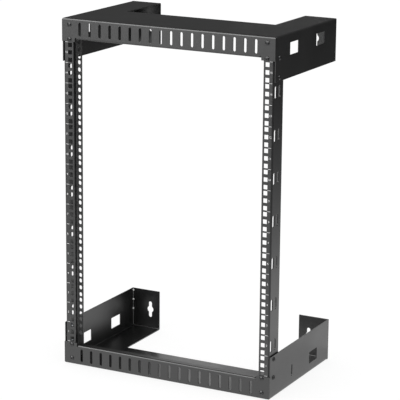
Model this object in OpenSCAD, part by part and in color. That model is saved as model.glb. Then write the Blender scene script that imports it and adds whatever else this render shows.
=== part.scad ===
// Open frame wall rack for 19 inch equipment, 15 units high.
// Two identical folded brackets, one turned over, hold two C-section posts between them.
// Only the left post is pierced in its rear flange too.
// X runs to the right, Y back to the wall, Z up; the lower bracket stands on Z = 0.

/* [Overall] */
// Width over the side plates
rack_w = 502; // [494:1:560]
// Depth from the front face to the wall face
rack_d = 303; // [240:1:450]
// Height of the equipment space, in units
units = 15; // [6:1:22]
// Space between the front tabs and the first unit's lower edge
grid_gap = 1.62; // [0.5:0.01:3]
// Thickness of the bracket sheet
sheet_t = 2; // [1.2:0.1:2.5]
// Inside radius of every fold
fold_r = 1.5; // [0.5:0.1:2]

/* [Bracket] */
// Depth of the crossbar part of the horizontal web
web_d = 150; // [90:1:200]
// Width of each arm that runs back to the wall
arm_w = 72; // [60:1:100]
// Height of the side plates and wall flanges
side_h = 93; // [88:1:120]
// Height of the front strip between the posts
strip_h = 44.5; // [40:0.5:47]
// How far the tabs that cover the post ends stand above the strip
tab_rise = 5; // [4.5:0.5:8]
// Width of each front tab
tab_w = 31.5; // [26:0.5:32]
// Depth of the lip folded back along the front strip
lip_d = 16; // [8:1:24]
// Notch between each end of the lip and the tab beside it
lip_notch = 3; // [1:0.5:6]
// Gap between two sheet edges that meet at a corner
seam_gap = 0.4; // [0.2:0.1:1]
// Radius of a tack weld bead
weld_r = 2; // [1.5:0.1:3]
// Number of tack welds up each rear corner
weld_count = 3; // [2:1:4]
// Height of the lowest tack weld
weld_low = 43; // [20:1:50]
// Spacing of the tack welds
weld_step = 22.5; // [10:0.5:24]
// Radius of the slim bead that runs down the corner under the tack welds
seam_bead_r = 0.8; // [0.4:0.1:1.4]

/* [Lacing slots] */
// Number of slots along the front strip
slot_count = 18; // [8:1:18]
// Distance of the last slot's centre from the side
slot_margin = 43.6; // [40:0.1:80]
// Length of a slot
slot_l = 29.5; // [15:0.5:30]
// Width of a slot
slot_w = 6; // [3:0.1:8]
// Height of the slot centres
slot_z = 22; // [19:0.5:24]

/* [Side openings] */
// Length of a rectangular side opening
window_l = 41; // [20:1:55]
// Height of the side openings
window_h = 26; // [15:1:30]
// Height of the opening centres
window_z = 33; // [25:1:45]
// Distance of the front opening's centre from the front face
window_front_y = 91; // [80:1:100]
// Distance of the rear opening's centre from the wall face
window_rear_y = 82.5; // [50:0.5:90]
// Width of the narrow side opening
narrow_w = 6.5; // [4:0.5:12]
// Distance of the narrow opening's centre from the front face
narrow_y = 110; // [90:1:130]

/* [Wall keyholes] */
// Distance of a keyhole from the side; the two then stand on studs 406.4 apart
keyhole_x = 47.8; // [30:0.1:52]
// Height of the keyhole centres
keyhole_z = 47; // [40:1:52]
// Diameter of the round middle that passes a bolt head
keyhole_d = 16; // [14:0.5:20]
// Width of the slots above and below it
keyhole_slot_w = 8.5; // [6:0.5:11]
// Length of the whole keyhole
keyhole_l = 38; // [30:1:50]

/* [Posts] */
// Thickness of the post sheet
post_t = 2; // [1.2:0.1:2.5]
// Depth of a post, front to back
post_d = 47; // [42:1:60]
// Play between a post and the side plate
post_play = 1; // [0.3:0.1:1.5]
// Space left between a post end and the horizontal web
post_end_gap = 2; // [1.8:0.1:4]
// Width of the front flange, which leaves a clear opening of 449 between the posts
front_flange_w = 23.5; // [22:0.1:26]
// Distance of the front hole column from the outer face of the post
front_column = 15.45; // [14:0.05:16]
// Width of the rear flange
rear_flange_w = 17; // [16:0.5:19]
// Distance of the left post's rear hole column from its outer face
rear_column = 10.2; // [9.8:0.1:11]
// Width of the left post's upright rear holes, which are as high as the rack holes
rear_hole_w = 7; // [5:0.1:8]
// Side of a square rack hole
rack_hole = 9.5; // [8:0.1:10]
// Width of a long slot in the post's outer face
post_slot_w = 9; // [6:0.5:10]
// Length of a long slot
post_slot_l = 25.5; // [15:0.5:30]
// Distance of the front row of long slots from the post's front face
post_slot_y = 9.5; // [9:0.5:10]
// Distance between the two rows of long slots
post_slot_step = 17.5; // [16:0.5:18]
// Spacing of the pairs of long slots up the post
post_slot_pitch = 90; // [84:0.5:92]

/* [Fasteners] */
// Screw diameter
screw_d = 5; // [4:0.5:6]
// Screw length under the head
screw_l = 11; // [10:0.5:13]
// Diameter of the pan head
head_d = 10; // [8:0.5:11]
// Height of the pan head
head_h = 3; // [2.2:0.1:3.5]
// Height of the head's straight rim
head_rim = 0.9; // [0.5:0.1:1.2]
// Length of the cross recess
recess_l = 5; // [3:0.1:6]
// Width of the cross recess
recess_w = 1.2; // [0.8:0.1:1.6]
// Depth of the cross recess
recess_depth = 1.5; // [0.8:0.1:1.8]
// Chamfer at the screw tip
tip_chamfer = 0.6; // [0.2:0.1:1]
// Play of a screw in the sheet holes
hole_play = 0.5; // [0.3:0.1:1]
// Play of a screw in its nut
thread_play = 0.1; // [0.05:0.05:0.2]
// Width of a weld nut across its flats
nut_af = 8; // [7.5:0.5:9]
// Height of a weld nut
nut_h = 4; // [3:0.5:5]
// Distance of the side screws from the front face
side_screw_y = 20; // [18:0.5:26]
// Height of the lower side screw
side_screw_z = 44.2; // [40:0.1:46]
// Spacing of the two side screws
side_screw_step = 40.4; // [36:0.1:40.4]

/* [Hidden] */
$fn = 48;
eps = 0.01;
// Height of one unit, and the distance of its outer holes from its edges
grid_step = 44.45;
grid_end = 6.35;
// Heights of the three holes in one unit
grid_holes = [grid_end, grid_step / 2, grid_step - grid_end];
tab_h = strip_h + tab_rise;
grid_z = tab_h + grid_gap;
rack_h = units * grid_step + 2 * grid_z;
fold_out = fold_r + sheet_t;
post_fold_out = fold_r + post_t;
half_w = rack_w / 2;
post_x = half_w - sheet_t - post_play;
post_y = sheet_t;
post_z = sheet_t + post_end_gap;
post_h = rack_h - 2 * post_z;
column_x = post_x - front_column;
// The unit grid carries on behind the tabs, where its outer holes take the front screws
front_screw_z = [grid_z - grid_step + grid_end, grid_z - grid_end];
slot_end_x = half_w - slot_margin;
slot_step = 2 * slot_end_x / (slot_count - 1);
side_screw_zs = [side_screw_z, side_screw_z + side_screw_step];
// Pairs of long slots, one to every two units and centred on the post
slot_pairs = floor((units - 1) / 2);
// The screw heads are the foremost points, so the part's middle lies half their height forward
front_y = -(rack_d - head_h) / 2;
left = -1;
right = 1;

// Puts front-face coordinates into the part's frame
module at_front() {
    translate([0, front_y, 0]) children();
}

// Turns the lower half's shapes over to make the upper half's
module turned_over() {
    translate([0, 0, rack_h]) rotate([0, 180, 0]) children();
}

module at_level(top) {
    if (top) turned_over() children();
    else children();
}

// Upright obround, centred
module obround(l, w) {
    square([w, l - w], center = true);
    for (end = [-1, 1])
        translate([0, end * (l - w) / 2]) circle(d = w);
}

// Quarter ring of a fold: the corner is at the origin and both walls run along the positive axes
module fold_section(inner, t) {
    outer = inner + t;
    translate([outer, outer]) intersection() {
        difference() {
            circle(r = outer);
            circle(r = inner);
        }
        translate([-outer, -outer]) square(outer);
    }
}

// Stands a sheet drawn in X and Z upright, from y to y + t
module wall_xz(y, t) {
    translate([0, y + t, 0]) rotate([90, 0, 0]) linear_extrude(t) children();
}

// Stands a sheet drawn in Y and Z upright, from x to x + t
module wall_yz(x, t) {
    translate([x, 0, 0]) rotate([90, 0, 90]) linear_extrude(t) children();
}

// Horizontal web: a crossbar with an arm at each end
module web() {
    side = half_w - fold_out;
    arm = half_w - arm_w;
    rear = rack_d - fold_out;
    linear_extrude(sheet_t) polygon([
        [-side, fold_out], [side, fold_out], [side, rear], [arm, rear],
        [arm, web_d], [-arm, web_d], [-arm, rear], [-side, rear]
    ]);
}

// Fold between the web and the front flange, its ends rounded as seen from the front
module front_fold() {
    intersection() {
        translate([-half_w, 0, 0]) rotate([90, 0, 90])
            linear_extrude(rack_w) fold_section(fold_r, sheet_t);
        wall_xz(0, fold_out) {
            translate([-half_w + fold_out, 0]) square([rack_w - 2 * fold_out, fold_out]);
            for (side = [left, right])
                translate([side * (half_w - fold_out), fold_out]) circle(r = fold_out);
        }
    }
}

module lacing_slots() {
    for (i = [0 : slot_count - 1])
        translate([i * slot_step - slot_end_x, slot_z]) obround(slot_l, slot_w);
}

// Front flange: the slotted strip and the two taller tabs that cover the post ends
module front_flange() {
    wall_xz(0, sheet_t) difference() {
        union() {
            translate([-half_w, fold_out])
                square([rack_w, strip_h - 2 * fold_out]);
            for (side = [left, right])
                translate([side * (half_w - tab_w / 2) - tab_w / 2, fold_out])
                    square([tab_w, tab_h - fold_out]);
        }
        lacing_slots();
        for (side = [left, right], z = front_screw_z)
            translate([side * column_x, z]) circle(d = screw_d + hole_play);
    }
}

// Lip folded back along the free edge of the front strip
module lip() {
    lip_w = rack_w - 2 * tab_w - 2 * lip_notch;
    translate([-lip_w / 2, 0, strip_h]) {
        rotate([90, 0, 90]) linear_extrude(lip_w) mirror([0, 1]) fold_section(fold_r, sheet_t);
        translate([0, fold_out, -sheet_t]) cube([lip_w, lip_d - fold_out, sheet_t]);
    }
}

module window(y) {
    translate([y, window_z]) square([window_l, window_h], center = true);
}

// Side plate and its fold; one side has two windows, the other a narrow slot and one window
module side_plate(side) {
    front = sheet_t + seam_gap;
    fold_front = fold_out + seam_gap;
    rear = rack_d - sheet_t - seam_gap;
    fold_rear = rack_d - fold_out - seam_gap;
    wall_yz(side > 0 ? half_w - sheet_t : -half_w, sheet_t) difference() {
        translate([front, fold_out]) square([rear - front, side_h - fold_out]);
        window(rack_d - window_rear_y);
        if (side == left)
            window(window_front_y);
        else
            translate([narrow_y, window_z]) obround(window_h, narrow_w);
        for (z = side_screw_zs)
            translate([side_screw_y, z]) circle(d = screw_d + hole_play);
    }
    mirror([side > 0 ? 1 : 0, 0, 0])
        translate([-half_w, fold_rear, 0]) rotate([90, 0, 0])
            linear_extrude(fold_rear - fold_front) fold_section(fold_r, sheet_t);
}

module keyhole() {
    circle(d = keyhole_d);
    obround(keyhole_l, keyhole_slot_w);
}

// Wall flange folded up from the end of an arm
module wall_flange(side) {
    arm = half_w - arm_w;
    start = side > 0 ? arm : -half_w;
    wall_xz(rack_d - sheet_t, sheet_t) difference() {
        translate([start, fold_out]) square([arm_w, side_h - fold_out]);
        translate([side * (half_w - keyhole_x), keyhole_z]) keyhole();
    }
    translate([start, rack_d, 0]) rotate([90, 0, 90])
        linear_extrude(arm_w) mirror([1, 0]) fold_section(fold_r, sheet_t);
}

// Cuts a bead, centred on a rear corner's inner edge, so that it stays within the two sheets
module in_rear_corner(side, r, h) {
    reach = r + sheet_t / 2;
    translate([side * (half_w - sheet_t), rack_d - sheet_t, 0]) intersection() {
        children();
        translate([side > 0 ? -r : -sheet_t / 2, -r, 0]) cube([reach, reach, h]);
    }
}

// Beads in the inside corner that tie the side plate to the wall flange
module corner_welds(side) {
    in_rear_corner(side, weld_r, side_h)
        for (i = [0 : weld_count - 1])
            translate([0, 0, weld_low + i * weld_step]) sphere(r = weld_r);
    bead_h = weld_low + (weld_count - 1) * weld_step - fold_out;
    translate([0, 0, fold_out]) in_rear_corner(side, seam_bead_r, bead_h)
        cylinder(r = seam_bead_r, h = bead_h);
}

module bracket() {
    web();
    front_fold();
    front_flange();
    lip();
    for (side = [left, right]) {
        side_plate(side);
        wall_flange(side);
        corner_welds(side);
    }
}

module bottom_bracket() {
    color("#3a3b3c") at_front() bracket();
}

module top_bracket() {
    color("#3a3b3c") at_front() turned_over() bracket();
}

// Puts a hole on every place of the unit grid, three to a unit, in a column at x
module unit_column(x) {
    for (u = [0 : units - 1], z = grid_holes)
        translate([x, grid_z - post_z + u * grid_step + z]) children();
}

// One post, drawn as the left one: outer face at x = 0, front face at y = 0, foot at z = 0
module post(pierced_rear) {
    // front flange
    wall_xz(0, post_t) difference() {
        translate([post_fold_out, 0]) square([front_flange_w - post_fold_out, post_h]);
        unit_column(front_column) square(rack_hole, center = true);
        for (z = front_screw_z)
            for (height = [z - post_z, post_h - z + post_z])
                translate([front_column, height]) circle(d = screw_d + hole_play);
    }
    // outer face with its pairs of long slots
    wall_yz(0, post_t) difference() {
        translate([post_fold_out, 0]) square([post_d - 2 * post_fold_out, post_h]);
        for (i = [0 : slot_pairs - 1], row = [0, 1])
            translate([post_slot_y + row * post_slot_step,
                post_h / 2 + (i - (slot_pairs - 1) / 2) * post_slot_pitch])
                obround(post_slot_l, post_slot_w);
        for (z = side_screw_zs)
            for (height = [z - post_z, post_h - z + post_z])
                translate([side_screw_y - post_y, height]) circle(d = screw_d + hole_play);
    }
    // rear flange
    wall_xz(post_d - post_t, post_t) difference() {
        translate([post_fold_out, 0]) square([rear_flange_w - post_fold_out, post_h]);
        if (pierced_rear)
            unit_column(rear_column) obround(rack_hole, rear_hole_w);
    }
    linear_extrude(post_h) fold_section(fold_r, post_t);
    translate([0, post_d, 0]) linear_extrude(post_h)
        mirror([0, 1]) fold_section(fold_r, post_t);
}

module left_post() {
    color("#45464a") at_front() translate([-post_x, post_y, post_z]) post(true);
}

module right_post() {
    color("#45464a") at_front() mirror([1, 0, 0])
        translate([-post_x, post_y, post_z]) post(false);
}

// Pan head screw: the head stands on z = 0 and the shank points down
module screw() {
    dome_h = head_h - head_rim;
    dome_r = (pow(head_d / 2, 2) + pow(dome_h, 2)) / (2 * dome_h);
    difference() {
        intersection() {
            cylinder(d = head_d, h = head_h);
            translate([0, 0, head_h - dome_r]) sphere(r = dome_r);
        }
        for (turn = [0, 90])
            rotate(turn) translate([0, 0, head_h])
                cube([recess_l, recess_w, 2 * recess_depth], center = true);
    }
    translate([0, 0, tip_chamfer - screw_l]) cylinder(d = screw_d, h = screw_l - tip_chamfer);
    translate([0, 0, -screw_l])
        cylinder(d1 = screw_d - 2 * tip_chamfer, d2 = screw_d, h = tip_chamfer);
}

// Hexagonal weld nut: its seat is at z = 0 and it stands down from it
module weld_nut() {
    translate([0, 0, -nut_h]) difference() {
        cylinder(d = nut_af / cos(30), h = nut_h, $fn = 6);
        translate([0, 0, -eps]) cylinder(d = screw_d + thread_play, h = nut_h + 2 * eps);
    }
}

// Places a piece on the front screw axes of one corner, depth behind the front face
module front_pair(side, depth) {
    for (z = front_screw_z)
        translate([side * column_x, depth, z]) rotate([90, 0, 0]) children();
}

// Places a piece on the side screw axes of one corner, depth inside the side plate's outer face
module side_pair(side, depth) {
    for (z = side_screw_zs)
        translate([side * (half_w - depth), side_screw_y, z]) rotate([0, side * 90, 0]) children();
}

// On the turned-over bracket left and right change places
module front_screws(side, top) {
    color("#161616") at_front() at_level(top) front_pair(top ? -side : side, 0) screw();
}

module side_screws(side, top) {
    color("#161616") at_front() at_level(top) side_pair(top ? -side : side, 0) screw();
}

module front_nuts(side, top) {
    color("#8c8d90") at_front() at_level(top)
        front_pair(top ? -side : side, post_y + post_t) weld_nut();
}

module side_nuts(side, top) {
    color("#8c8d90") at_front() at_level(top)
        side_pair(top ? -side : side, half_w - post_x + post_t) weld_nut();
}

bottom_bracket();
top_bracket();
left_post();
right_post();
front_screws(left, false);  // front_screws_bottom_left
front_screws(right, false);  // front_screws_bottom_right
front_screws(left, true);  // front_screws_top_left
front_screws(right, true);  // front_screws_top_right
side_screws(left, false);  // side_screws_bottom_left
side_screws(right, false);  // side_screws_bottom_right
side_screws(left, true);  // side_screws_top_left
side_screws(right, true);  // side_screws_top_right
front_nuts(left, false);  // front_nuts_bottom_left
front_nuts(right, false);  // front_nuts_bottom_right
front_nuts(left, true);  // front_nuts_top_left
front_nuts(right, true);  // front_nuts_top_right
side_nuts(left, false);  // side_nuts_bottom_left
side_nuts(right, false);  // side_nuts_bottom_right
side_nuts(left, true);  // side_nuts_top_left
side_nuts(right, true);  // side_nuts_top_right
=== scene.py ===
# %% [markdown]
# # A wall rack in black powder coat
#
# The frame of this object is already exact: two folded brackets, two C-section posts, the
# screws and their weld nuts. What is left for this lesson is what a solid model can't say:
# how powder coat takes the light, where the rack units are printed on the posts, and what
# kind of studio makes black sheet metal readable on a pale floor.

# %% Load the frame
import math

import bmesh
import bpy
from mathutils import Matrix, Vector


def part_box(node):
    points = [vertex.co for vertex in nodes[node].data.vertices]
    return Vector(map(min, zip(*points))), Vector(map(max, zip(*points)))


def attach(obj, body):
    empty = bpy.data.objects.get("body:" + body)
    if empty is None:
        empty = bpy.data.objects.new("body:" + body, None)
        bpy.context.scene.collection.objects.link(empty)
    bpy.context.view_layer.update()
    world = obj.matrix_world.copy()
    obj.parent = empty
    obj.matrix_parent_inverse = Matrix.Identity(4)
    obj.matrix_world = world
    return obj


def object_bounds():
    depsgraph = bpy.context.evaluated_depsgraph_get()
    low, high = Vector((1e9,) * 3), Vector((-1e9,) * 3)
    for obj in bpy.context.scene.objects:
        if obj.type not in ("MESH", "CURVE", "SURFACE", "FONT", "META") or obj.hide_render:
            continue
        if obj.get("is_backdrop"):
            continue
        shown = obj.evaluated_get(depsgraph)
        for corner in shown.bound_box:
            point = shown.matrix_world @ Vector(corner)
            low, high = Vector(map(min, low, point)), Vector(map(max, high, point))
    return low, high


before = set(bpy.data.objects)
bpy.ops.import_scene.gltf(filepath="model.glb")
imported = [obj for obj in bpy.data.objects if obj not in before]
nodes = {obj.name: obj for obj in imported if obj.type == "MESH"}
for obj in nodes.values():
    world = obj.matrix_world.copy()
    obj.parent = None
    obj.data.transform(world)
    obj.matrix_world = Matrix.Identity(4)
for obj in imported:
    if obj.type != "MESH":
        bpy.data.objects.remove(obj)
cad_low, cad_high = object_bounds()

scene = bpy.context.scene
MM = 0.001

# %% [markdown]
# ## Camera
#
# A photograph of a straight-edged thing tells where its camera stood. Every edge of the
# rack is parallel to X, Y or Z, so the camera's place, its three angles and its focal
# length were solved from the edges. A long lens from four metres away keeps the two posts
# almost parallel. The rotation is built from the view direction instead of by eye.

# %% Camera
CAMERA_PLACE = Vector((1.82933, -3.47924, 1.36112))
CAMERA_YAW = 26.425
CAMERA_PITCH = -13.442
CAMERA_ROLL = 0.808
LENS_MM = 167.31
SHIFT_X, SHIFT_Y = -0.0992, -0.0575


def camera_rotation(yaw, pitch, roll):
    """Rotation of a camera turned left by yaw from +Y, tipped up by pitch and rolled."""
    yaw, pitch, roll = map(math.radians, (yaw, pitch, roll))
    ahead = Vector((-math.sin(yaw) * math.cos(pitch), math.cos(yaw) * math.cos(pitch),
                    math.sin(pitch)))
    right = ahead.cross(Vector((0, 0, 1))).normalized()
    up = right.cross(ahead)
    rolled_right = math.cos(roll) * right + math.sin(roll) * up
    rolled_up = math.cos(roll) * up - math.sin(roll) * right
    return Matrix((rolled_right, rolled_up, -ahead)).transposed()


camera_data = bpy.data.cameras.new("camera")
camera_data.lens = LENS_MM
camera_data.sensor_width = 36
camera_data.shift_x, camera_data.shift_y = SHIFT_X, SHIFT_Y
camera_data.clip_start, camera_data.clip_end = 0.1, 100
camera = bpy.data.objects.new("camera", camera_data)
turn = camera_rotation(CAMERA_YAW, CAMERA_PITCH, CAMERA_ROLL)
camera.matrix_world = Matrix.Translation(CAMERA_PLACE) @ turn.to_4x4()
scene.collection.objects.link(camera)
scene.camera = camera
print("camera", tuple(round(v, 3) for v in camera.location), "lens", LENS_MM)

# %% [markdown]
# ## Studio
#
# Black satin metal shows almost nothing of its own colour. It shows its surroundings, so
# the studio has two halves. The camera and the diffuse light see a pale floor under an even
# white sky. The reflections see a drawn room: a floor that glows close by and falls off to
# dark, pale and shaded patches on it, a dim ceiling and backdrop, a card behind on the left
# that brightens the lower web and its lip, two cards above that light the folds, and a soft
# box low at the front on the left, where the fronts mirror it.

# %% Node and mesh helpers
def new_tree(owner):
    """Clears a material's or world's nodes and gives short calls that add and join them."""
    owner.use_nodes = True
    tree = owner.node_tree
    tree.nodes.clear()

    def add(kind, inputs=None, **settings):
        node = tree.nodes.new(kind)
        for name, value in settings.items():
            setattr(node, name, value)
        for name, value in (inputs or {}).items():
            if isinstance(value, bpy.types.NodeSocket):
                tree.links.new(value, node.inputs[name])
            else:
                node.inputs[name].default_value = value
        return node

    return tree, add


def mesh_object(name, vertices, faces):
    mesh = bpy.data.meshes.new(name)
    mesh.from_pydata(vertices, [], faces)
    mesh.update()
    obj = bpy.data.objects.new(name, mesh)
    scene.collection.objects.link(obj)
    return obj


# %% Sky: white to the camera and to diffuse light, never mirrored
PALE = 1.0
SKY_LIGHT = 0.9

world = bpy.data.worlds.new("studio_sky")
scene.world = world
tree, add = new_tree(world)
lit = add("ShaderNodeBackground", {"Color": (1.0, 1.0, 1.0, 1), "Strength": SKY_LIGHT})
seen = add("ShaderNodeBackground", {"Color": (PALE, PALE, PALE, 1), "Strength": 1.0})
rays = add("ShaderNodeLightPath")
mix = add("ShaderNodeMixShader", {0: rays.outputs["Is Camera Ray"], 1: lit.outputs[0], 2: seen.outputs[0]})
add("ShaderNodeOutputWorld", {"Surface": mix.outputs[0]})
world.cycles_visibility.glossy = False
scene.view_settings.view_transform = "Standard"

# %% Floor: mostly self-lit paper, so that shadows stay faint
FLOOR_SIZE = 40.0
FLOOR_Z = -0.0005
PATCH_Z = -0.0001
FLOOR_GLOW = 0.83
FLOOR_ALBEDO = 0.22

half = FLOOR_SIZE / 2
WIDE = [(-half, -half, 0), (half, -half, 0), (half, half, 0), (-half, half, 0)]
floor = mesh_object("floor", WIDE, [(0, 1, 2, 3)])
floor.location.z = FLOOR_Z
floor.visible_glossy = False
paper = bpy.data.materials.new("floor_paper")
tree, add = new_tree(paper)
matte = add("ShaderNodeBsdfDiffuse", {"Color": (FLOOR_ALBEDO, FLOOR_ALBEDO, FLOOR_ALBEDO, 1)})
glow = add("ShaderNodeEmission", {"Color": (1.0, 1.0, 1.0, 1), "Strength": FLOOR_GLOW})
both = add("ShaderNodeAddShader", {0: matte.outputs[0], 1: glow.outputs[0]})
add("ShaderNodeOutputMaterial", {"Surface": both.outputs[0]})
floor.data.materials.append(paper)
floor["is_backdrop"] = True


# %% Cards that only the reflections see
def glowing(name, level, fade=None):
    """An emission of one level; fade adds the nodes that change it over the card."""
    material = bpy.data.materials.new(name)
    tree, add = new_tree(material)
    if fade:
        level = fade(add, level)
    light = add("ShaderNodeEmission", {"Color": (1.0, 1.0, 1.0, 1), "Strength": level})
    add("ShaderNodeOutputMaterial", {"Surface": light.outputs[0]})
    return material


def falls_off(add, level):
    """level / (1 + (distance / HALF_GLOW_AT) ^ 3)"""
    place = add("ShaderNodeTexCoord").outputs["Object"]
    reach = add("ShaderNodeVectorMath", {0: place}, operation="LENGTH").outputs["Value"]
    share = add("ShaderNodeMath", {0: reach, 1: HALF_GLOW_AT}, operation="DIVIDE").outputs[0]
    cube = add("ShaderNodeMath", {0: share, 1: 3.0}, operation="POWER").outputs[0]
    below = add("ShaderNodeMath", {0: cube, 1: 1.0}, operation="ADD").outputs[0]
    return add("ShaderNodeMath", {0: level, 1: below}, operation="DIVIDE").outputs[0]


def brighter_above(add, level):
    """Rises from the given level to CARD_HIGH_LEVEL between two heights."""
    place = add("ShaderNodeTexCoord").outputs["Object"]
    height = add("ShaderNodeSeparateXYZ", {"Vector": place}).outputs["Z"]
    return add("ShaderNodeMapRange", {"Value": height, "From Min": RISE_FROM, "From Max": RISE_TO,
                                      "To Min": level, "To Max": CARD_HIGH_LEVEL}).outputs["Result"]


def mirror_card(name, vertices, material):
    card = mesh_object(name, vertices, [tuple(range(len(vertices)))])
    card.data.materials.append(material)
    card.visible_camera = False
    card.visible_diffuse = False
    card.visible_shadow = False
    card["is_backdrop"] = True
    return card


def upright(left, right, y, top):
    """Corners of a card that stands on the floor, facing the rack's back."""
    return [(left, y, 0), (right, y, 0), (right, y, top), (left, y, top)]


def on_floor(*corners):
    """Corners of a card that lies at PATCH_Z, just over the paper."""
    return [(x, y, PATCH_Z) for x, y in corners]


NEAR_GLOW = 1.22
HALF_GLOW_AT = 1.42
near_floor = mirror_card("mirrored_floor", WIDE, glowing("floor_mirror", NEAR_GLOW, falls_off))
near_floor.location.z = FLOOR_Z

CARD_Y = 1.15
CARD_LEFT, CARD_RIGHT = -0.5, 0.0
CARD_TOP = 0.80
CARD_LEVEL = 0.5
CARD_HIGH_LEVEL = 2.0
RISE_FROM, RISE_TO = 0.50, 0.62
mirror_card("rear_card", upright(CARD_LEFT, CARD_RIGHT, CARD_Y, CARD_TOP),
            glowing("card_white", CARD_LEVEL, brighter_above))

# its left end is brighter: the lower web mirrors it at the middle of the rack
BRIGHT_LEFT = -0.75
BRIGHT_TOP = 0.56
BRIGHT_LEVEL = 1.75
mirror_card("bright_card", upright(BRIGHT_LEFT, CARD_LEFT, CARD_Y, BRIGHT_TOP),
            glowing("bright_white", BRIGHT_LEVEL))

BACKDROP_Y = 7.0
BACKDROP_TOP = 3.0
BACKDROP_LEVEL = 0.11
mirror_card("backdrop", upright(-half, half, BACKDROP_Y, BACKDROP_TOP),
            glowing("backdrop_dim", BACKDROP_LEVEL))

# a pale strip of floor runs out to the front on the left, where the posts mirror it
RUNNER_LEVEL = 1.12
RUNNER_Z = -0.0002
runner = [(x, y, RUNNER_Z) for x, y in ((0.2, -0.9), (-1.0, -0.5), (-2.9, -3.2), (-1.0, -4.0))]
mirror_card("floor_runner", runner, glowing("runner_white", RUNNER_LEVEL))

# and the floor right under the front strip is a little brighter still
APRON_LEVEL = 1.45
apron = on_floor((0.32, -0.156), (-0.5, -0.156), (-0.9, -0.8), (0.2, -0.8))
mirror_card("floor_apron", apron, glowing("apron_white", APRON_LEVEL))

# the floor beside the right lower plate lies in the rack's own shade
SHADE_LEVEL = 0.93
shaded = on_floor((0.256, -0.22), (0.42, -0.14), (0.42, 0.22), (0.256, 0.22))
mirror_card("floor_shade", shaded, glowing("shade_dim", SHADE_LEVEL))

# a wide card hung over the camera lights the folds, the screw heads and the weld beads
HOOD_LEVEL = 6.2
hood = [(-3.4, -2.6, 1.3), (0.6, -4.2, 1.3), (1.0, -2.2, 3.6), (-2.6, -0.9, 3.6)]
mirror_card("front_hood", hood, glowing("hood_white", HOOD_LEVEL))

# a smaller one high on the right puts the glints on the weld beads and the side screws
GLINT_LEVEL = 9.0
glint = [(1.2, -1.6, 2.3), (2.6, -1.2, 1.6), (2.6, 0.6, 1.8), (1.2, 0.2, 2.6)]
mirror_card("glint_card", glint, glowing("glint_white", GLINT_LEVEL))

CEILING = 4.0
CEILING_LEVEL = 0.16
mirror_card("dim_ceiling", [(-half, -half, 0), (-half, half, 0), (half, half, 0), (half, -half, 0)],
            glowing("ceiling_dim", CEILING_LEVEL)).location.z = CEILING

# %% Soft boxes
def soft_box(name, place, aim, size, power):
    """A square area light at place that points at aim."""
    light = bpy.data.lights.new(name, "AREA")
    light.shape = "SQUARE"
    light.size = size
    light.energy = power
    obj = bpy.data.objects.new(name, light)
    scene.collection.objects.link(obj)
    obj.location = place
    obj.rotation_euler = (Vector(aim) - Vector(place)).to_track_quat("-Z", "Y").to_euler()
    return obj


MIDDLE = (0, 0, 0.38)
soft_box("key_light", (-1.5, -2.8, 0.62), MIDDLE, 1.25, 10)
print("stage ready")

# %% [markdown]
# ## Powder coat
#
# Powder coat is a thin plastic skin baked on to the steel. Seen close, it has a fine orange
# peel about half a millimetre across; seen from a step away that texture only softens the
# reflections. It wears a little brighter on folds and cut edges. The colour is a very dark
# neutral grey, the roughness breaks up slowly over the sheet, and a rounded-edge normal
# lets even a square sheet edge catch a thin line of light.

# %% Powder coat material
def powder_coat(name, colour, rough, peel_scale, edge_radius, painted_light=None):
    """A coat; the last argument, if given, adds nodes that paint light onto a part of the sheet."""
    material = bpy.data.materials.new(name)
    tree, add = new_tree(material)
    place = add("ShaderNodeTexCoord").outputs["Object"]
    # slow change of sheen over the sheet
    cloud = add("ShaderNodeTexNoise", {"Vector": place, "Scale": 9.0, "Detail": 3.0, "Roughness": 0.55})
    sheen = add("ShaderNodeMapRange", {"Value": cloud.outputs["Fac"], "From Min": 0.3, "From Max": 0.7,
                                       "To Min": rough - 0.03, "To Max": rough + 0.04})
    # rounded edges, and how far a point is from flat
    rounded = add("ShaderNodeBevel", {"Radius": edge_radius}, samples=6)
    true = add("ShaderNodeNewGeometry").outputs["Normal"]
    same = add("ShaderNodeVectorMath", {0: rounded.outputs[0], 1: true}, operation="DOT_PRODUCT")
    edge = add("ShaderNodeMapRange", {"Value": same.outputs["Value"], "From Min": 0.995, "From Max": 0.85,
                                      "To Min": 0.0, "To Max": 1.0})
    # colour: base, fine speckle, a touch lighter on edges
    grain = add("ShaderNodeTexNoise", {"Vector": place, "Scale": 700.0, "Detail": 2.0, "Roughness": 0.6})
    speck = add("ShaderNodeMapRange", {"Value": grain.outputs["Fac"], "From Min": 0.35, "From Max": 0.65,
                                       "To Min": 0.88, "To Max": 1.12})
    lighter = add("ShaderNodeMapRange", {"Value": edge.outputs["Result"], "To Min": 1.0, "To Max": 1.6})
    shade = add("ShaderNodeMath", {0: speck.outputs["Result"], 1: lighter.outputs["Result"]},
                operation="MULTIPLY")
    tone = add("ShaderNodeVectorMath", {0: colour, "Scale": shade.outputs[0]}, operation="SCALE")
    # painted light: a lighter colour laid over a part of the sheet, where given
    if painted_light:
        tone = painted_light(add, tone, place, true)
    # orange peel
    peel = add("ShaderNodeTexNoise", {"Vector": place, "Scale": peel_scale, "Detail": 1.5, "Roughness": 0.5})
    bump = add("ShaderNodeBump", {"Height": peel.outputs["Fac"], "Strength": 0.35, "Distance": 0.00004,
                                  "Normal": rounded.outputs[0]})
    coat = add("ShaderNodeBsdfPrincipled", {"Base Color": tone.outputs[0], "Roughness": sheen.outputs["Result"],
                                            "IOR": 1.6, "Normal": bump.outputs[0]})
    add("ShaderNodeOutputMaterial", {"Surface": coat.outputs[0]})
    return material


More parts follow.
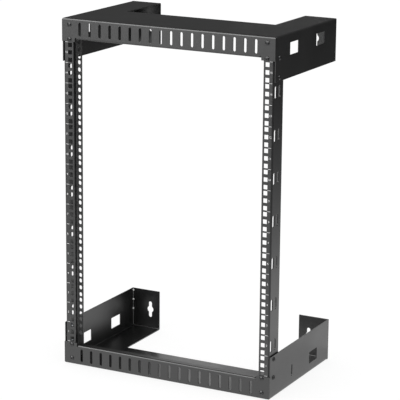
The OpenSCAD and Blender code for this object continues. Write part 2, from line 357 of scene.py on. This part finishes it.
def painted_light_inner_flange(add, tone, place, normal):
    """Adds a fixed lightness to the colour on the rear flanges' front faces: painted light for these faces
    inside the section.
    """
    along = add("ShaderNodeSeparateXYZ", {"Vector": place}).outputs["Y"]
    facing = add("ShaderNodeSeparateXYZ", {"Vector": normal}).outputs["Y"]
    rear = add("ShaderNodeMath", {0: along, 1: REAR_FLANGE_Y}, operation="GREATER_THAN").outputs[0]
    front_face = add("ShaderNodeMath", {0: facing, 1: -0.5}, operation="LESS_THAN").outputs[0]
    both = add("ShaderNodeMath", {0: rear, 1: front_face}, operation="MULTIPLY").outputs[0]
    painted_light = add("ShaderNodeMath", {0: both, 1: PAINTED_LIGHT_LEVEL}, operation="MULTIPLY").outputs[0]
    return add("ShaderNodeVectorMath", {0: tone.outputs[0], 1: painted_light}, operation="ADD")


# painted light: how much lighter the rear flanges' front faces are painted
PAINTED_LIGHT_LEVEL = 0.10
OVER_SHEET = 2.5 * MM
REAR_FLANGE_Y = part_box("left_post")[1].y - OVER_SHEET
bracket_coat = powder_coat("bracket_coat", (0.0070, 0.0071, 0.0072), 0.32, 1500.0, 0.0005)
# the post coat paints light onto the rear flanges' front faces
post_coat = powder_coat("post_coat", (0.0070, 0.0071, 0.0073), 0.32, 1500.0, 0.0004, painted_light_inner_flange)

# %% [markdown]
# ## Screws and nuts
#
# The machine screws are black oxide: darker and glossier than the coat, with fine turning
# marks round the head. The weld nuts behind the sheet are zinc plated, so they are bright,
# slightly blue and a little cloudy.

# %% Screw and nut materials
def plated_metal(name, colour, metallic, rough, cloud_scale):
    material = bpy.data.materials.new(name)
    tree, add = new_tree(material)
    place = add("ShaderNodeTexCoord").outputs["Object"]
    cloud = add("ShaderNodeTexNoise", {"Vector": place, "Scale": cloud_scale, "Detail": 4.0, "Roughness": 0.6})
    shade = add("ShaderNodeMapRange", {"Value": cloud.outputs["Fac"], "From Min": 0.3, "From Max": 0.7,
                                       "To Min": 0.8, "To Max": 1.2})
    tone = add("ShaderNodeVectorMath", {0: colour, "Scale": shade.outputs["Result"]}, operation="SCALE")
    gloss = add("ShaderNodeMapRange", {"Value": cloud.outputs["Fac"], "From Min": 0.3, "From Max": 0.7,
                                       "To Min": rough - 0.05, "To Max": rough + 0.08})
    rounded = add("ShaderNodeBevel", {"Radius": 0.0003}, samples=6)
    metal = add("ShaderNodeBsdfPrincipled", {"Base Color": tone.outputs[0], "Roughness": gloss.outputs["Result"],
                                             "Metallic": metallic, "Normal": rounded.outputs[0]})
    add("ShaderNodeOutputMaterial", {"Surface": metal.outputs[0]})
    return material


black_oxide = plated_metal("black_oxide", (0.012, 0.012, 0.013), 0.0, 0.28, 900.0)
bright_zinc = plated_metal("bright_zinc", (0.55, 0.57, 0.60), 1.0, 0.30, 400.0)

# %% Give every CAD node its finish
for name, obj in nodes.items():
    if "screws" in name:
        finish = black_oxide
    elif "nuts" in name:
        finish = bright_zinc
    elif "post" in name:
        finish = post_coat
    else:
        finish = bracket_coat
    for index in range(len(obj.material_slots)):
        obj.material_slots[index].material = finish
print("finished nodes:", len(nodes))

# %% [markdown]
# ## Weld beads
#
# Three tack welds and a thin seam close each rear corner of a bracket. The solids carry them
# as small beads; on the real rack they read as three light dots on a faint line. A skin a few
# tenths of a millimetre larger gives them that look: its near-white beads and light grey seam
# are painted highlights for the glints and the light line of the real welds.

# %% Bead shapes
BEAD_R = 2.7 * MM
SEAM_R = 1.1 * MM
BEAD_ZS = [43.0 * MM, 65.5 * MM, 88.0 * MM]
SEAM_FOOT = 3.5 * MM
SHEET = 2.0 * MM


def quarter_ball(centre, inward, radius, rings=10, wedges=6):
    """Closed quarter of a ball that bulges along X by the sign inward and towards the front."""
    points, faces = [], []
    for i in range(rings + 1):
        lift = math.pi * (i / rings - 0.5)
        for j in range(wedges + 1):
            turn = math.pi / 2 * j / wedges
            points.append((centre[0] + inward * radius * math.cos(lift) * math.cos(turn),
                           centre[1] - radius * math.cos(lift) * math.sin(turn),
                           centre[2] + radius * math.sin(lift)))
    wide = wedges + 1
    for i in range(rings):
        for j in range(wedges):
            faces.append((i * wide + j, i * wide + j + 1, (i + 1) * wide + j + 1, (i + 1) * wide + j))
    faces.append([i * wide for i in range(rings + 1)])
    faces.append([i * wide + wedges for i in reversed(range(rings + 1))])
    return points, faces


def corner_prism(x, y, low_z, high_z, inward, leg):
    """Three-sided prism that fills an upright inside corner."""
    flat = [(x, y), (x + inward * leg, y), (x, y - leg)]
    points = [(px, py, pz) for pz in (low_z, high_z) for px, py in flat]
    return points, [(0, 1, 2), (3, 4, 5), (0, 1, 4, 3), (1, 2, 5, 4), (2, 0, 3, 5)]


def closed_piece(name, shapes, material):
    """Joins closed shapes into one mesh, welds their poles and turns the faces outwards."""
    points, faces = [], []
    for part_points, part_faces in shapes:
        first = len(points)
        points += part_points
        faces += [[first + index for index in face] for face in part_faces]
    piece = mesh_object(name, points, faces)
    shape = bmesh.new()
    shape.from_mesh(piece.data)
    bmesh.ops.remove_doubles(shape, verts=shape.verts, dist=0.000001)
    bmesh.ops.recalc_face_normals(shape, faces=shape.faces)
    shape.to_mesh(piece.data)
    shape.free()
    piece.data.materials.append(material)
    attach(piece, "root")
    print(name, "faces", len(piece.data.polygons))
    return piece


# %% Beads in the four rear corners
# painted highlights: the near-white beads and the light grey seam stand in for the glints and the light line on
# the real welds
bead_painted_highlight = plated_metal("bead_painted_highlight", (0.78, 0.78, 0.76), 0.0, 0.35, 1200.0)
seam_painted_light = plated_metal("seam_painted_light", (0.12, 0.12, 0.12), 0.0, 0.40, 1200.0)
bracket_low, bracket_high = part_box("bottom_bracket")
beads, seams = [], []
for inward, plate_x in ((1, bracket_low.x + SHEET), (-1, bracket_high.x - SHEET)):
    flange_y = bracket_high.y - SHEET
    for low in (True, False):
        heights = BEAD_ZS if low else [cad_high[2] - z for z in BEAD_ZS]
        beads += [quarter_ball((plate_x, flange_y, z), inward, BEAD_R) for z in heights]
        foot = SEAM_FOOT if low else cad_high[2] - SEAM_FOOT
        low_z, high_z = sorted((foot, heights[-1]))
        seams.append(corner_prism(plate_x, flange_y, low_z, high_z, inward, SEAM_R))
closed_piece("weld_beads", beads, bead_painted_highlight)
closed_piece("weld_seams", seams, seam_painted_light)

# %% [markdown]
# ## Printed rack units
#
# A rack is counted in units of 44.45 mm. A short white line is printed on the front of each
# post where two units meet, with the unit's number beside its middle hole. The print is
# ink a few hundredths of a millimetre thick, so it is made as thin solids that stand on the
# steel. Lines and numbers follow one rule, a step from one unit to the next, so Geometry
# Nodes make them: a row of points, and on each point a line or the number of its index.

# %% Ink
ink = bpy.data.materials.new("white_ink")
tree, add = new_tree(ink)
place = add("ShaderNodeTexCoord").outputs["Object"]
worn = add("ShaderNodeTexNoise", {"Vector": place, "Scale": 2500.0, "Detail": 2.0})
shade = add("ShaderNodeMapRange", {"Value": worn.outputs["Fac"], "From Min": 0.35, "From Max": 0.6,
                                   "To Min": 0.80, "To Max": 0.95})
print_colour = add("ShaderNodeCombineColor", {0: shade.outputs[0], 1: shade.outputs[0], 2: shade.outputs[0]})
dry = add("ShaderNodeBsdfPrincipled", {"Base Color": print_colour.outputs[0], "Roughness": 0.55})
add("ShaderNodeOutputMaterial", {"Surface": dry.outputs[0]})

# %% Unit marks tree
UNITS = 15
UNIT = 44.45 * MM
FIRST_UNIT_Z = 51.12 * MM
INK_THICK = 0.05 * MM
LINE_LONG = 6.6 * MM
LINE_HIGH = 0.7 * MM
LINE_X = 241.1 * MM
NUMBER_X = 241.6 * MM
NUMBER_SIZE = 6.0 * MM


def group_tree(name, sockets):
    """A Geometry Nodes tree with named float or integer inputs and one geometry output."""
    tree = bpy.data.node_groups.new(name, "GeometryNodeTree")
    for label, kind in sockets:
        tree.interface.new_socket(label, in_out="INPUT", socket_type=kind)
    tree.interface.new_socket("Geometry", in_out="OUTPUT", socket_type="NodeSocketGeometry")

    def add(kind, inputs=None, **settings):
        node = tree.nodes.new(kind)
        for key, value in settings.items():
            setattr(node, key, value)
        for key, value in (inputs or {}).items():
            if isinstance(value, bpy.types.NodeSocket):
                tree.links.new(value, node.inputs[key])
            else:
                node.inputs[key].default_value = value
        return node

    return tree, add, tree.nodes.new("NodeGroupInput")


def unit_lines_tree():
    tree, add, given = group_tree("unit_lines", [
        ("Count", "NodeSocketInt"), ("Step", "NodeSocketFloat"), ("Start Z", "NodeSocketFloat"),
        ("X", "NodeSocketFloat"), ("Face Y", "NodeSocketFloat"), ("Length", "NodeSocketFloat"),
        ("Height", "NodeSocketFloat"), ("Thickness", "NodeSocketFloat")])
    start = add("ShaderNodeCombineXYZ", {"X": given.outputs["X"], "Y": given.outputs["Face Y"],
                                         "Z": given.outputs["Start Z"]})
    step = add("ShaderNodeCombineXYZ", {"Z": given.outputs["Step"]})
    row = add("GeometryNodeMeshLine", {"Count": given.outputs["Count"], "Start Location": start.outputs[0],
                                       "Offset": step.outputs[0]})
    size = add("ShaderNodeCombineXYZ", {"X": given.outputs["Length"], "Y": given.outputs["Thickness"],
                                        "Z": given.outputs["Height"]})
    line = add("GeometryNodeMeshCube", {"Size": size.outputs[0]})
    lines = add("GeometryNodeInstanceOnPoints", {"Points": row.outputs[0], "Instance": line.outputs["Mesh"]})
    real = add("GeometryNodeRealizeInstances", {"Geometry": lines.outputs[0]})
    inked = add("GeometryNodeSetMaterial", {"Geometry": real.outputs[0], "Material": ink})
    add("NodeGroupOutput", {"Geometry": inked.outputs[0]})
    return tree


def unit_numbers_tree():
    tree, add, given = group_tree("unit_numbers", [
        ("Count", "NodeSocketInt"), ("Step", "NodeSocketFloat"), ("Start Z", "NodeSocketFloat"),
        ("X", "NodeSocketFloat"), ("Face Y", "NodeSocketFloat"), ("Size", "NodeSocketFloat"),
        ("Thickness", "NodeSocketFloat")])
    enter = tree.nodes.new("GeometryNodeRepeatInput")
    leave = tree.nodes.new("GeometryNodeRepeatOutput")
    enter.pair_with_output(leave)
    leave.repeat_items.clear()
    leave.repeat_items.new("GEOMETRY", "Geometry")
    tree.links.new(given.outputs["Count"], enter.inputs["Iterations"])
    index = enter.outputs["Iteration"]
    number = add("ShaderNodeMath", {0: index, 1: 1.0}, operation="ADD")
    words = add("FunctionNodeValueToString", {"Value": number.outputs[0], "Decimals": 0})
    text = add("GeometryNodeStringToCurves", {"String": words.outputs[0], "Size": given.outputs["Size"]},
               align_x="CENTER", align_y="MIDDLE")
    outline = add("GeometryNodeRealizeInstances", {"Geometry": text.outputs[0]})
    flat = add("GeometryNodeFillCurve", {"Curve": outline.outputs[0]})
    solid = add("GeometryNodeExtrudeMesh", {"Mesh": flat.outputs[0], "Offset Scale": given.outputs["Thickness"],
                                            "Individual": False})
    back = add("GeometryNodeFlipFaces", {"Mesh": flat.outputs[0]})
    closed = add("GeometryNodeJoinGeometry")
    tree.links.new(solid.outputs[0], closed.inputs[0])
    tree.links.new(back.outputs[0], closed.inputs[0])
    welded = add("GeometryNodeMergeByDistance", {"Geometry": closed.outputs[0], "Distance": 0.000001})
    rise = add("ShaderNodeMath", {0: index, 1: given.outputs["Step"], 2: given.outputs["Start Z"]},
               operation="MULTIPLY_ADD")
    spot = add("ShaderNodeCombineXYZ", {"X": given.outputs["X"], "Y": given.outputs["Face Y"],
                                        "Z": rise.outputs[0]})
    upright = add("GeometryNodeTransform", {"Geometry": welded.outputs[0], "Translation": spot.outputs[0],
                                            "Rotation": (math.pi / 2, 0, 0)})
    gather = add("GeometryNodeJoinGeometry")
    tree.links.new(enter.outputs["Geometry"], gather.inputs[0])
    tree.links.new(upright.outputs[0], gather.inputs[0])
    tree.links.new(gather.outputs[0], leave.inputs["Geometry"])
    inked = add("GeometryNodeSetMaterial", {"Geometry": leave.outputs["Geometry"], "Material": ink})
    add("NodeGroupOutput", {"Geometry": inked.outputs[0]})
    return tree


def bake_tree(name, tree, values):
    """Runs a tree on an empty mesh with the given inputs and keeps the result as a plain mesh."""
    obj = mesh_object(name, [], [])
    modifier = obj.modifiers.new("nodes", "NODES")
    modifier.node_group = tree
    ids = {item.name: item.identifier for item in tree.interface.items_tree if item.in_out == "INPUT"}
    for label, value in values.items():
        modifier[ids[label]] = value
    graph = bpy.context.evaluated_depsgraph_get()
    made = bpy.data.meshes.new_from_object(obj.evaluated_get(graph))
    obj.modifiers.clear()
    obj.data = made
    print(name, "vertices", len(made.vertices), "faces", len(made.polygons))
    return obj


post_face_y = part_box("left_post")[0].y
lines_tree = unit_lines_tree()
numbers_tree = unit_numbers_tree()
for side, sign in (("left", -1), ("right", 1)):
    lines = bake_tree(f"{side}_unit_lines", lines_tree, {
        "Count": UNITS + 1, "Step": UNIT, "Start Z": FIRST_UNIT_Z, "X": sign * LINE_X,
        "Face Y": post_face_y - INK_THICK / 2, "Length": LINE_LONG, "Height": LINE_HIGH, "Thickness": INK_THICK})
    numbers = bake_tree(f"{side}_unit_numbers", numbers_tree, {
        "Count": UNITS, "Step": UNIT, "Start Z": FIRST_UNIT_Z + UNIT / 2, "X": sign * NUMBER_X,
        "Face Y": post_face_y, "Size": NUMBER_SIZE, "Thickness": INK_THICK})
    for piece in (lines, numbers):
        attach(piece, "root")

# %% Sizes
low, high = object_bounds()
print("visual box", [tuple(round(v, 4) for v in corner) for corner in (low, high)])
